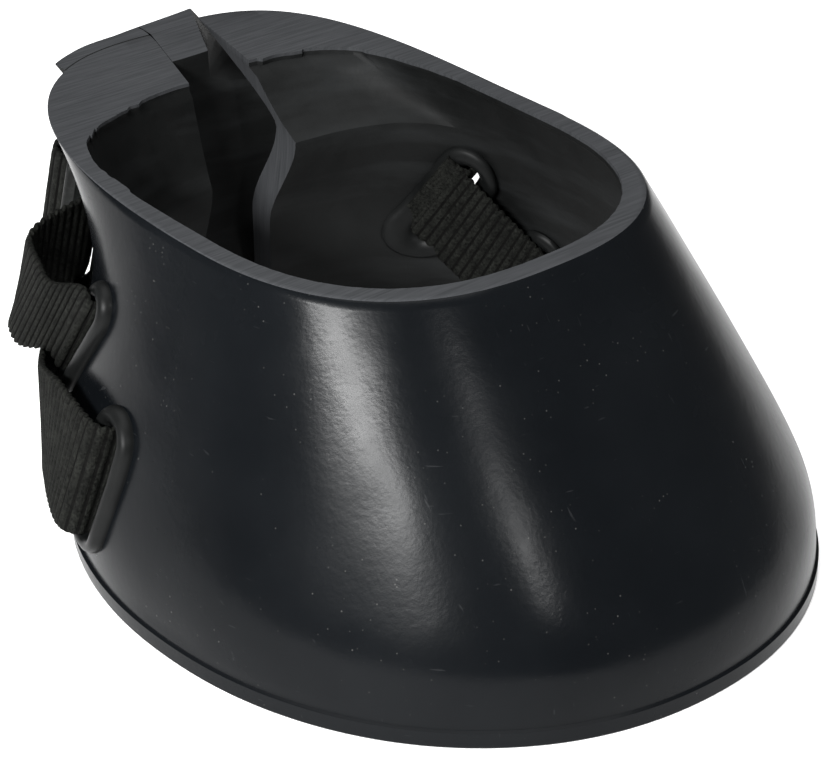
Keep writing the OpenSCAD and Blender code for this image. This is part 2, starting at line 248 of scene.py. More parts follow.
def make_object(name, points, faces, materials, face_material=None, sharp=40):
    mesh = bpy.data.meshes.new(name)
    mesh.from_pydata([tuple(float(c) * MM for c in p) for p in points], [], faces)
    for m in materials:
        mesh.materials.append(m)
    if face_material is not None:
        mesh.polygons.foreach_set("material_index", face_material)
    bm = bmesh.new()
    bm.from_mesh(mesh)
    bmesh.ops.recalc_face_normals(bm, faces=bm.faces)
    bm.to_mesh(mesh)
    bm.free()
    mesh.polygons.foreach_set("use_smooth", [True] * len(mesh.polygons))
    mesh.set_sharp_from_angle(angle=math.radians(sharp))
    mesh.update()
    obj = bpy.data.objects.new(name, mesh)
    bpy.context.scene.collection.objects.link(obj)
    return obj


def pick_faces(source, name, wanted):
    """A new object with some faces of the source, that keeps the source's shading."""
    src = source.data
    normals = np.zeros(len(src.loops) * 3)
    src.corner_normals.foreach_get("vector", normals)
    normals = normals.reshape(-1, 3)
    order, remap, faces, corner, mats = [], {}, [], [], []
    for poly in src.polygons:
        if not wanted(poly.center / MM):
            continue
        face = []
        for li in poly.loop_indices:
            vi = src.loops[li].vertex_index
            if vi not in remap:
                remap[vi] = len(order)
                order.append(src.vertices[vi].co[:])
            face.append(remap[vi])
            corner.append(normals[li])
        faces.append(face)
        mats.append(poly.material_index)
    mesh = bpy.data.meshes.new(name)
    mesh.from_pydata(order, [], faces)
    for m in src.materials:
        mesh.materials.append(m)
    mesh.polygons.foreach_set("material_index", mats)
    mesh.polygons.foreach_set("use_smooth", [True] * len(faces))
    mesh.normals_split_custom_set([tuple(n) for n in corner])
    mesh.update()
    obj = bpy.data.objects.new(name, mesh)
    bpy.context.scene.collection.objects.link(obj)
    return obj


def sweep_ring(path, profile_at, name, material, sharp=50):
    """A closed ring: profile_at(i) gives the closed section at each point of a closed path."""
    points, faces = [], []
    sections = [profile_at(i) for i in range(len(path))]
    k = len(sections[0])
    for section in sections:
        points.extend(section)
    n = len(path)
    for i in range(n):
        for j in range(k):
            a, b = i * k + j, i * k + (j + 1) % k
            c, d = ((i + 1) % n) * k + (j + 1) % k, ((i + 1) % n) * k + j
            faces.append((a, b, c, d))
    return make_object(name, points, faces, [material], sharp=sharp)


# ---------------------------------------------------------------- eyelet slots
# side, how far back, height, lean of the slot to the toe, extra bow of its toe side
EYELETS = {
    "right_upper": (RIGHT, 31.3, 41.7, 30, 0.6),
    "right_lower": (RIGHT, 8.6, 23.6, 6, 2.6),
    "left_upper": (LEFT, 39, 40.5, 35, 0.6),
    "left_lower": (LEFT, 23, 20.5, 27, 1.5),
}


class Slot:
    def __init__(self, name):
        self.side, self.y, self.z, lean_deg, self.bow = EYELETS[name]
        self.at = wall_point(self.side, self.y, self.z)
        self.out = wall_normal(self.side, self.y, self.z)
        back = unit(np.cross([0, 0, 1], self.out))
        back = back if back[1] > 0 else -back
        up = np.cross(self.out, back)
        up = up if up[2] > 0 else -up
        t = math.radians(lean_deg)
        self.along = math.cos(t) * up - math.sin(t) * back
        across = np.cross(self.along, self.out)
        self.heelward = across if across[1] > 0 else -across

    def step(self, d, m=0.0):
        """A strap step at distance d out of the wall and m towards the heel."""
        return (self.at + d * self.out + m * self.heelward, self.along)

    def on_wall(self, m, l, d):
        """A point m towards the heel and l along the slot, laid on the curved wall."""
        p = self.at + m * self.heelward + l * self.along
        surface = wall_point(self.side, p[1], p[2])
        return surface + d * wall_normal(self.side, p[1], p[2])

    def depth(self, m=0.0, l=0.0):
        """How thick the wall is here, along the slot's own direction."""
        start = self.on_wall(m, l, 0)
        for i in range(20, 160):
            deep = 0.1 * i
            q = start - deep * self.out
            if abs(q[0]) < inner_x(self.side, q[1], q[2]):
                return deep
        return WALL

    def local(self, p):
        q = np.asarray(p) - self.at
        return q @ self.heelward, q @ self.along, q @ self.out

    def bowed(self, m, l, half_len):
        """The toe side of the slot bows out; the heel side stays straight."""
        if m >= 0:
            return m
        return m - self.bow * max(0.0, 1 - (l / half_len) ** 2)


SLOTS = {name: Slot(name) for name in EYELETS}
# every slot is further out than this, and its wall is nearer than this
SLOT_SIDE_X = 20
SLOT_REACH = 9


def in_slot_hole(p, margin):
    """True where a bead covers the wall, so that the wall's faces are left out there."""
    for slot in SLOTS.values():
        if slot.side * p[0] < SLOT_SIDE_X:
            continue
        m, l, n = slot.local(p)
        if abs(n) > SLOT_REACH or abs(l) > SLOT_LEN / 2 + margin:
            continue
        straight = SLOT_LEN / 2 - SLOT_W / 2
        past = max(0.0, abs(l) - straight)
        reach = SLOT_W / 2 + margin + (slot.bow if m < 0 else 0) * 0.8
        if abs(m) < reach and math.hypot(m, past) < reach:
            return True
    return False


# ---------------------------------------------------------------- shell
COLS = 170
ROUND = 0.45
HOLE_MARGIN = 1.7
RIM_POINTS = 7
OUTSIDE, CUT, INSIDE = 0, 1, 2


def outer_rows():
    """Heights of the rows, close together at the lip."""
    low_rows = [0, 0.35, 1.2, 2.4, 3.2, 3.45, 3.6, 3.8, 4.1, 4.7]
    mid_rows = [mix(5.4, 48, i / 26) for i in range(27)]
    top_rows = [mix(49.5, SHELL_H - ROUND, i / 18) for i in range(19)]
    return low_rows + mid_rows + top_rows


ROWS = outer_rows()


def ragged(p):
    """The hand-trimmed inner edge of the rim at the heel: steps, chips and nicks."""
    x, y, _ = p
    at_heel = smooth((y - 20) / 20)
    v = Vector((x / 13.0, y / 13.0, 0.3))
    step = math.floor(2.6 * (noise.noise(v) + 0.5)) / 2.6 - 0.3
    arc = noise.noise(Vector((x / 6.5, y / 6.5, 5.0)))
    fine = noise.noise(Vector((x / 1.8, y / 1.8, 2.0)))
    return at_heel * (2.2 * step + 1.1 * arc + 0.22 * fine) + 0.1 * (1 - at_heel) * fine


def wall_column(side, j):
    """One closed section of the wall, from the outer foot up, over the rim and down inside."""
    share = j / COLS

    def on(layer, z):
        return plan(side, layer, z, share * last_angle(side, layer, z))

    outside, inside = [], []
    for z in ROWS:
        inset = 0.3 if z == 0 else 0.0
        p_out, p_in = with_lip(on(0, z)), on(1, z)
        across = unit(p_in - p_out)
        p_out = p_out + inset * across
        dent = ripple(p_out, 26, 0.22, 1.3) + ripple(p_out, 9, 0.05, 4.1)
        outside.append(p_out + dent * across * (1 if z > 5 else 0.3))
        rough = ripple(p_in, 14, 0.45, 7.7) + ripple(p_in, 4, 0.12, 2.2)
        inside.append(p_in + rough * across)
    top_out, top_in = on(0, SHELL_H), on(1, SHELL_H)
    width = np.linalg.norm(top_in - top_out)
    across = (top_in - top_out) / width
    edge = top_in + across * ragged(top_in)
    span = np.linalg.norm(edge - top_out)
    rim = [top_out + across * 0.12 + [0, 0, -0.2]]
    for t in (0.4, span * 0.25, span * 0.5, span * 0.75, span - 0.5, span - 0.05):
        rim.append(top_out + across * t)
    # under the trimmed edge the wall steps back to its moulded inside
    under = [edge + [0, 0, -0.7], edge + [0, 0, -1.6] - 0.3 * across * ragged(top_in)]
    inside = [p for p in inside if p[2] < SHELL_H - 2.6]
    return outside + rim + under + inside[::-1]


def build_shell(materials):
    columns = [wall_column(LEFT, j) for j in range(COLS, 0, -1)]
    columns += [wall_column(RIGHT, j) for j in range(0, COLS + 1)]
    k = len(columns[0])
    n_out = len(ROWS)
    rim_end = n_out + RIM_POINTS
    points = [p for column in columns for p in column]
    faces, kinds = [], []
    for i in range(len(columns) - 1):
        for j in range(k):
            a, b = i * k + j, i * k + (j + 1) % k
            c, d = (i + 1) * k + (j + 1) % k, (i + 1) * k + j
            centre = (points[a] + points[b] + points[c] + points[d]) / 4
            if (j < n_out - 1 or j > rim_end) and in_slot_hole(centre, HOLE_MARGIN):
                continue
            faces.append((a, b, c, d))
            if j < n_out:
                kinds.append(OUTSIDE)
            elif j < rim_end or j == k - 1:
                kinds.append(CUT)
            else:
                kinds.append(INSIDE)
    # the two cut ends at the heel, closed by strips between the outside and the inside
    for base, flip in ((0, False), ((len(columns) - 1) * k, True)):
        lo_out, lo_in = 0, k - 1
        strip = []
        while lo_in - lo_out > 1:
            z_out, z_in = points[base + lo_out + 1][2], points[base + lo_in - 1][2]
            if z_out <= z_in:
                strip.append((lo_out, lo_out + 1, lo_in))
                lo_out += 1
            else:
                strip.append((lo_out, lo_in - 1, lo_in))
                lo_in -= 1
            if lo_out >= rim_end - 1:
                break
        for tri in strip:
            face = tuple(base + t for t in tri)
            if len(set(face)) == 3:
                faces.append(face[::-1] if flip else face)
                kinds.append(CUT)
        rest = list(range(lo_out, lo_in + 1))
        if len(rest) > 2:
            faces.append(tuple(base + t for t in rest))
            kinds.append(CUT)
    return make_object("shell_whole", points, faces, materials, kinds, sharp=38)


# ---------------------------------------------------------------- heel flap
FLAP_T = 4.5
FLAP_START_X = -19
FLAP_END_X = 28
FLAP_FOLD = (72.6, 48)
FLAP_RIM_Y = 75
FLAP_POCKET_Y = 74
FLAP_FOOT_Y = 68.5
FLAP_BOTTOM = 1
# heights where a part of its inside starts to blend into the next, and over how much
FLAP_FOLD_BLEND = (44, 4)
FLAP_POCKET_BLEND = (16, 14)
FLAP_POCKET_TOP = 30
FLAP_RIM_CUT = (62, 4)
FLAP_CUT_BACK = (5.5, 17)
FLAP_LEAD = (14, 18)
FLAP_COLLAR_RISE = 0.1
FLAP_BOW = 0.006
SEAT_GAP = 0.12
JOIN_W = 2.8


def flap_cut(z):
    """Level with the collar the flap is cut back to end against the left wall."""
    return smooth((z - FLAP_RIM_CUT[0]) / FLAP_RIM_CUT[1])


def flap_seat(x, z):
    """The flap lies on the outside of the right wall here."""
    return y_at(RIGHT, 0, z, x)


def bridge_y(z):
    """Inside face where the flap bridges the gap: rim, fold, heel-bulb pocket and foot."""
    if z > FLAP_FOLD[1]:
        return mix(FLAP_FOLD[0], FLAP_RIM_Y, (z - FLAP_FOLD[1]) / (SHELL_H - FLAP_FOLD[1]))
    start, length = FLAP_FOLD_BLEND if z > FLAP_POCKET_TOP else FLAP_POCKET_BLEND
    t = smooth((z - start) / length)
    if z > FLAP_POCKET_TOP:
        return mix(FLAP_POCKET_Y, FLAP_FOLD[0], t)
    return mix(FLAP_FOOT_Y, FLAP_POCKET_Y, t)


def flap_curve(x, z):
    return FLAP_BOW * max(x, 0) ** 2 * (1 - flap_cut(z))


def flap_outer_y(x, z):
    k = collar(RIGHT, z)
    on_bridge = max(bridge_y(z), flap_seat(0, z))
    y = mix(flap_seat(min(x, 0), z), on_bridge, smooth((x + FLAP_LEAD[0]) / FLAP_LEAD[1]))
    return y + FLAP_T + k * k * FLAP_COLLAR_RISE * max(x, 0) - flap_curve(x, z)


def build_flap(materials):
    heights = [FLAP_BOTTOM, FLAP_BOTTOM + 0.5]
    heights += [mix(FLAP_BOTTOM + 1.5, SHELL_H - 1, i / 52) for i in range(53)]
    heights += [SHELL_H - 0.4, SHELL_H]
    seat_n, join_n, bridge_n = 30, 8, 40
    rows = []
    for iz, z in enumerate(heights):
        pull = 0.35 if iz in (0, len(heights) - 1) else 0.0
        seat_x = end_x(RIGHT, flap_seat(0, z), z)
        bridge_x = min(end_x(RIGHT, bridge_y(z), z) + 0.1, seat_x)
        last_out = FLAP_END_X - FLAP_CUT_BACK[0] * flap_cut(z)
        last_in = FLAP_END_X - FLAP_CUT_BACK[1] * flap_cut(z)
        out_x = [mix(FLAP_START_X + 0.3, seat_x, i / seat_n) for i in range(seat_n + 1)]
        out_x += [seat_x + JOIN_W * i / join_n for i in range(1, join_n + 1)]
        out_x += [mix(seat_x + JOIN_W, last_out - 0.3, i / bridge_n) for i in range(1, bridge_n + 1)]
        outer = [np.array([x, flap_outer_y(x, z) - pull + ripple((x, 0, z), 12, 0.2, 5.5), z])
            for x in out_x]
        inner = [np.array([x, flap_seat(x, z) + SEAT_GAP, z])
            for x in [mix(FLAP_START_X, seat_x, i / seat_n) for i in range(seat_n + 1)]]
        join_end = np.array([bridge_x, bridge_y(z), z])
        inner += [mix(inner[seat_n], join_end, i / join_n) for i in range(1, join_n + 1)]
        for i in range(1, bridge_n + 1):
            x = mix(bridge_x, last_in, i / bridge_n)
            rough = ripple((x, 0, z), 8, 0.4, 9.1) * smooth((x - bridge_x) / 3)
            inner.append(np.array([x, bridge_y(z) - flap_curve(x, z) + rough, z]))
        tip = np.array([last_out, flap_outer_y(last_out, z) - 0.5, z])
        foot = np.array([FLAP_START_X, flap_outer_y(FLAP_START_X, z) - 0.6, z])
        rows.append(outer + [tip] + inner[::-1] + [foot])
    k = len(rows[0])
    n = k // 2 - 2
    points = [p for row in rows for p in row]
    faces, kinds = [], []
    for i in range(len(rows) - 1):
        for j in range(k):
            a, b = i * k + j, i * k + (j + 1) % k
            faces.append((a, b, b + k, a + k))
            kinds.append(0 if j <= n else 1)
    top = (len(rows) - 1) * k
    for base, kind in ((0, 0), (top, 2)):
        for i in range(n):
            a, b = base + i, base + i + 1
            c, d = base + 2 * n + 2 - i - 1, base + 2 * n + 2 - i
            faces.append((a, b, c, d))
            kinds.append(kind)
        faces.append((base + n, base + n + 1, base + n + 2))
        kinds.append(kind)
        faces.append((base, base + 2 * n + 2, base + 2 * n + 3))
        kinds.append(kind)
    return make_object("flap_visual", points, faces, materials, kinds, sharp=35)


# ---------------------------------------------------------------- eyelet beads
def build_eyelet(name, material):
    slot = SLOTS[name]
    straight = SLOT_LEN / 2 - SLOT_W / 2
    r = SLOT_W / 2
    path = []
    steps = 26
    for i in range(steps):
        l = mix(-straight, straight, i / steps)
        path.append(((r, l), (1, 0)))
    for i in range(18):
        a = math.pi * i / 18
        path.append(((r * math.cos(a), straight + r * math.sin(a)), (math.cos(a), math.sin(a))))
    for i in range(steps):
        l = mix(straight, -straight, i / steps)
        path.append(((-r, l), (-1, 0)))
    for i in range(18):
        a = math.pi + math.pi * i / 18
        path.append(((r * math.cos(a), -straight + r * math.sin(a)), (math.cos(a), math.sin(a))))
    # distance from the slot's edge, and height over the outside of the wall
    outer = [(-0.5, 0.2), (-0.2, 1.2), (0.5, 1.95), (1.0, 2.3), (1.6, BEAD_H), (2.2, 2.3),
        (2.8, 2.0), (3.3, 1.45), (3.6, 0.8), (3.7, 0.2), (3.65, -0.5), (2.6, -1.2)]
    # the same past the inside of the wall, from its outer edge back to the slot
    inner = [(2.6, -0.6), (4.7, -0.2), (5.0, 0.7), (4.6, 1.4), (3.8, 1.9), (2.8, 2.1),
        (1.8, 1.9), (0.9, 1.5), (0.0, 0.8), (-0.5, -0.6)]
    half_len = SLOT_LEN / 2 + BEAD_W

    def profile(i):
        (m, l), (dm, dl) = path[i]
        thick = slot.depth(m + 2.5 * dm, l + 2.5 * dl)
        out = []
        for away, height in outer + [(away, -thick - past) for away, past in inner]:
            mm, ll = m + dm * away, l + dl * away
            mm = slot.bowed(mm, ll, half_len)
            wobble = 0.12 * noise.noise(Vector((mm / 5, ll / 5, height / 4 + slot.y)))
            deep = min(height, 0.0)
            p = slot.on_wall(mm, ll, max(height, 0.0) + (wobble if height > 0.3 else 0))
            out.append(p + deep * slot.out)
        return out

    return sweep_ring(path, profile, "rim_" + name, material)


# ---------------------------------------------------------------- webbing
def curve_point(a, b, c, d, t):
    return 0.5 * (2 * b + (c - a) * t + (2 * a - 5 * b + 4 * c - d) * t * t
        + (3 * b - a - 3 * c + d) * t ** 3)


SMOOTH_PLACES = 10
SMOOTH_TURNS = 160


def smooth_route(route, step):
    """Even steps along a smooth curve through (point, across) pairs."""
    pts = [np.asarray(p, float) for p, _ in route]
    acr = [unit(w) for _, w in route]
    fine = []
    n = len(pts)
    for i in range(n - 1):
        ids = [max(0, i - 1), i, i + 1, min(n - 1, i + 2)]
        for s in range(16):
            t = s / 16
            fine.append((curve_point(*[pts[q] for q in ids], t),
                curve_point(*[acr[q] for q in ids], t)))
    fine.append((pts[-1], acr[-1]))
    p = np.array([f[0] for f in fine])
    w = np.array([f[1] for f in fine])
    run = np.concatenate([[0], np.cumsum(np.linalg.norm(np.diff(p, axis=0), axis=1))])
    count = int(run[-1] / step)
    s = np.linspace(0, run[-1], count + 1)
    p = np.stack([np.interp(s, run, p[:, k]) for k in range(3)], 1)
    w = np.stack([np.interp(s, run, w[:, k]) for k in range(3)], 1)
    for _ in range(SMOOTH_PLACES):
        p[1:-1] = (p[:-2] + 2 * p[1:-1] + p[2:]) / 4
    for _ in range(SMOOTH_TURNS):
        w[1:-1] = (w[:-2] + 2 * w[1:-1] + w[2:]) / 4
    return s, p, w


RUN_STEP = 0.3
RIB_PITCH = 2.1
RIB_DEPTH = 0.5
GROOVE = 0.42
WEB_COLS = 16


def web_mesh(name, s, p, w, materials):
    """Ribbed webbing. The width keeps its direction, so the strap shears where it turns."""
    t = np.gradient(p, axis=0)
    t /= np.linalg.norm(t, axis=1)[:, None]
    w = w / np.linalg.norm(w, axis=1)[:, None]
    n = np.cross(t, w)
    n /= np.linalg.norm(n, axis=1)[:, None]
    points, faces, kinds = [], [], []
    k = 2 * (WEB_COLS + 1) + 2
    for i in range(len(s)):
        wave = abs(math.sin(math.pi * s[i] / RIB_PITCH)) ** 0.7
        back_wave = abs(math.sin(math.pi * (s[i] / RIB_PITCH + 0.5))) ** 0.7
        half = WEB_W / 2 - 0.35 + 0.3 * wave
        ring = []
        for c in range(WEB_COLS + 1):
            u = mix(-1, 1, c / WEB_COLS)
            weave = 0.05 * noise.noise(Vector((s[i] * 1.3, u * 9, 3.3)))
            edge = 0.25 * max(0.0, (abs(u) - 0.9) / 0.1)
            h = WEB_T / 2 - RIB_DEPTH * (1 - wave) - edge + weave
            ring.append(p[i] + half * u * w[i] + h * n[i])
        ring.append(p[i] + (half + 0.25) * w[i])
        for c in range(WEB_COLS, -1, -1):
            u = mix(-1, 1, c / WEB_COLS)
            edge = 0.25 * max(0.0, (abs(u) - 0.9) / 0.1)
            h = WEB_T / 2 - RIB_DEPTH * (1 - back_wave) - edge
            ring.append(p[i] + half * u * w[i] - h * n[i])
        ring.append(p[i] - (half + 0.25) * w[i])
        points.extend(ring)
    for i in range(len(s) - 1):
        phase = (s[i] + s[i + 1]) / 2 / RIB_PITCH
        for j in range(k):
            a, b = i * k + j, i * k + (j + 1) % k
            faces.append((a, b, b + k, a + k))
            # the groove faces, at the bottom of each rib's dip, take the second material, which has
            # painted shade for the recesses
            own_phase = phase if j <= WEB_COLS else phase + 0.5
            kinds.append(1 if abs(math.sin(math.pi * own_phase)) < GROOVE else 0)
    faces.append(tuple(range(k)))
    faces.append(tuple(range(len(points) - k, len(points))))
    return make_object(name, points, faces, materials, kinds + [0, 0], sharp=60)


UP = np.array([0.0, 0.0, 1.0])
SLIDER_AT = np.array([-22.7, 78.3, 47.5])
SLIDER_TURN, SLIDER_LEAN, SLIDER_TILT = math.radians(48), math.radians(12), math.radians(14)


def turned(x, y, z):
    """From the slider's own axes to the boot's."""
    x, z = (x * math.cos(SLIDER_TILT) - z * math.sin(SLIDER_TILT),
        x * math.sin(SLIDER_TILT) + z * math.cos(SLIDER_TILT))
    y, z = (y * math.cos(SLIDER_LEAN) - z * math.sin(SLIDER_LEAN),
        y * math.sin(SLIDER_LEAN) + z * math.cos(SLIDER_LEAN))
    x, y = (x * math.cos(SLIDER_TURN) - y * math.sin(SLIDER_TURN),
        x * math.sin(SLIDER_TURN) + y * math.cos(SLIDER_TURN))
    return np.array([x, y, z])


SLIDER_UP = turned(0, 0, 1)


def by_slider(x, y, z=0.0):
    return (SLIDER_AT + turned(x, y, z), SLIDER_UP)


BAR_R = 2.2
LOOP_R = BAR_R + WEB_T / 2 + 0.25


def by_bar(degrees):
    """A place on the loop round the slider's middle bar."""
    a = math.radians(degrees)
    return by_slider(LOOP_R * math.cos(a), LOOP_R * math.sin(a))


# outside, the strap clears the eyelet's rim and turns towards the heel
SLOT_OUT = 2.6
TURN_OUT = (4.4, 3.6)
# inside, this far past the wall over the rim, and between the two slots
OVER_RIM = 3.3
MID_SPAN = 1.9


def leave_slot(slot):
    return [slot.step(SLOT_OUT), slot.step(*TURN_OUT)]


def inside_steps(slot_a, slot_b):
    """In through one slot, over its rim, along the inside of the wall, out through the next."""
    in_a, in_b = slot_a.depth(), slot_b.depth()
    steps = [slot_a.step(0.4), slot_a.step(-in_a / 2), slot_a.step(-in_a - 1.6, -0.4),
        slot_a.step(-in_a - OVER_RIM, -2.6), slot_a.step(-in_a - OVER_RIM, -5.2)]
    p_a, across_a = slot_a.step(-in_a - MID_SPAN, -9)
    p_b, across_b = slot_b.step(-in_b - MID_SPAN, 9)
    if (p_b - p_a) @ -slot_a.heelward > 1:
        steps += [(mix(p_a, p_b, 0.5), mix(across_a, across_b, 0.5))]
    steps += [slot_b.step(-in_b - OVER_RIM, 5.2), slot_b.step(-in_b - OVER_RIM, 2.6),
        slot_b.step(-in_b - 1.6, 0.4), slot_b.step(-in_b / 2), slot_b.step(0.4)]
    return steps


def strap_route():
    """The whole strap, from its loop on the slider to its free end."""
    r_up, r_low = SLOTS["right_upper"], SLOTS["right_lower"]
    l_up, l_low = SLOTS["left_upper"], SLOTS["left_lower"]
    low_z, up_z, pass_y = 17.5, 45.0, 80.0
    route = [by_bar(-110), by_bar(-90), by_bar(-50), by_bar(0), by_slider(2.2, 4.9),
        by_slider(-1, 6.2), by_slider(-3.8, 4.2), by_slider(-4.7, 1), by_slider(-5, -2),
        by_slider(-6.2, -4), by_slider(-8, -4.5), by_slider(-11, -4.5), by_slider(-14.4, -3.8),
        by_slider(-18.5, -0.6), by_slider(-24.5, 3.8), by_slider(-31, 6.4),
        (np.array([-52.8, 54.2, 42]), r_up.along), (np.array([-55.3, 46.5, 41.6]), r_up.along)]
    route += leave_slot(r_up)[::-1]
    route += inside_steps(r_up, r_low)
    route += leave_slot(r_low)
    route += [(off_wall(RIGHT, 26, 24, 4.2), unit(r_low.along) + UP),
        (off_wall(RIGHT, 40, 20.8, 4.6), UP), (np.array([-38, 62, 21.5]), UP),
        (np.array([-25, 72.5, 18]), UP), (np.array([-10, 79.4, low_z]), UP),
        (np.array([0, pass_y, low_z]), UP), (np.array([14, pass_y, low_z]), UP),
        (np.array([25, 78, low_z]), UP), (np.array([39, 71, 17]), UP),
        (off_wall(LEFT, 50, 16.5, 7), UP), (off_wall(LEFT, 38, 17.5, 6.5), l_low.along + UP)]
    route += leave_slot(l_low)[::-1]
    route += inside_steps(l_low, l_up)
    route += leave_slot(l_up)
    route += [(off_wall(LEFT, 51, 43.5, 6), l_up.along + UP), (np.array([38, 68.5, 45]), UP),
        (np.array([25, 77.8, up_z]), UP), (np.array([14, pass_y, up_z]), UP),
        (np.array([1, pass_y + 0.3, up_z]), UP), (np.array([-8, 84.5, 48]), UP + SLIDER_UP),
        by_slider(15, 5), by_slider(11, 5.6), by_slider(7.6, 5.3), by_slider(5.5, 1),
        by_slider(5.5, -2.4), by_slider(3.6, -5), by_slider(1, -5.6), by_slider(-4, -6.4),
        by_slider(-9, -6.6), by_slider(-14, -6.8)]
    return route


HEEL_Y = 70
LEFT_CUT_X, RIGHT_CUT_X = 16.0, -2.0


def build_strap(materials):
    s, p, w = smooth_route(strap_route(), RUN_STEP)
    # the strap is cut where it crosses from one half of the boot to the other, at the heel
    heel = p[:, 1] > HEEL_Y
    cross = [i for i in range(1, len(s)) if heel[i] and (
        (p[i, 0] - LEFT_CUT_X) * (p[i - 1, 0] - LEFT_CUT_X) < 0
        or (p[i, 0] - RIGHT_CUT_X) * (p[i - 1, 0] - RIGHT_CUT_X) < 0)]
    cuts = [0] + cross + [len(s) - 1]
    names = ["strap_right_run", "strap_heel_lower", "strap_left_run", "strap_heel_upper",
        "strap_end_run"]
    out = {}
    for name, a, b in zip(names, cuts[:-1], cuts[1:]):
        out[name] = web_mesh(name, s[a:b + 1], p[a:b + 1], w[a:b + 1], materials)
    return out


# ---------------------------------------------------------------- slider
SLIDER_L, SLIDER_H, SLIDER_T = 22, 32, 5
SLIDER_END = 3.6
SLIDER_WINDOW = WEB_W + 1.6
SLIDER_CORNER_R, SLIDER_EDGE_R = 1.6, 0.8


def build_slider(material):
    rail = (SLIDER_H - SLIDER_WINDOW) / 2
    half_x, half_z = SLIDER_L / 2 - SLIDER_END / 2, SLIDER_H / 2 - rail / 2
    corner = SLIDER_CORNER_R
    path = []

    def side_run(x0, z0, x1, z1, count, nx, nz):
        for i in range(count):
            t = i / count
            path.append((mix(x0, x1, t), mix(z0, z1, t), nx, nz))

    def turn_run(cx, cz, start):
        for i in range(8):
            a = math.radians(start + 90 * i / 8)
            path.append((cx + corner * math.cos(a), cz + corner * math.sin(a),
                math.cos(a), math.sin(a)))

    side_run(half_x, -half_z + corner, half_x, half_z - corner, 20, 1, 0)
    turn_run(half_x - corner, half_z - corner, 0)
    side_run(half_x - corner, half_z, -half_x + corner, half_z, 12, 0, 1)
    turn_run(-half_x + corner, half_z - corner, 90)
    side_run(-half_x, half_z - corner, -half_x, -half_z + corner, 20, -1, 0)
    turn_run(-half_x + corner, -half_z + corner, 180)
    side_run(-half_x + corner, -half_z, half_x - corner, -half_z, 12, 0, -1)
    turn_run(half_x - corner, -half_z + corner, 270)

    def profile(i):
        x, z, nx, nz = path[i]
        half_b = mix(rail / 2, SLIDER_END / 2, abs(nx))
        half_t = SLIDER_T / 2
        r = SLIDER_EDGE_R
        section = []
        seam = [(half_b, -0.25), (half_b + 0.12, -0.1), (half_b + 0.12, 0.1), (half_b, 0.25)]
        arc = [(math.cos(math.radians(a)), math.sin(math.radians(a))) for a in (0, 22, 45, 68, 90)]
        section += seam
        section += [(half_b - r + r * c, half_t - r + r * s_) for c, s_ in arc]
        section += [(-half_b + r - r * s_, half_t - r + r * c) for c, s_ in arc]
        section += [(-half_b + r - r * c, -half_t + r - r * s_) for c, s_ in arc]
        section += [(half_b - r + r * s_, -half_t + r - r * c) for c, s_ in arc]
        return [SLIDER_AT + turned(x + b * nx, y, z + b * nz) for b, y in section]

    ring = sweep_ring(path, profile, "slider_visual", material, sharp=45)
    bar_points, bar_faces = [], []
    around = 28
    levels = [mix(-SLIDER_WINDOW / 2 - 0.8, SLIDER_WINDOW / 2 + 0.8, i / 10) for i in range(11)]
    for z in levels:
        flare = 0.5 * smooth((abs(z) - SLIDER_WINDOW / 2 + 1.2) / 1.2)
        for j in range(around):
            a = 2 * math.pi * j / around
            bar_points.append(SLIDER_AT + turned((BAR_R + flare) * math.cos(a),
                (BAR_R + flare * 0.5) * math.sin(a), z))
    for i in range(len(levels) - 1):
        for j in range(around):
            a, b = i * around + j, i * around + (j + 1) % around
            bar_faces.append((a, b, b + around, a + around))
    bar_faces.append(tuple(range(around)))
    bar_faces.append(tuple(range(len(bar_points) - around, len(bar_points))))
    bar = make_object("slider_bar", bar_points, bar_faces, [material], sharp=45)
    return ring, bar


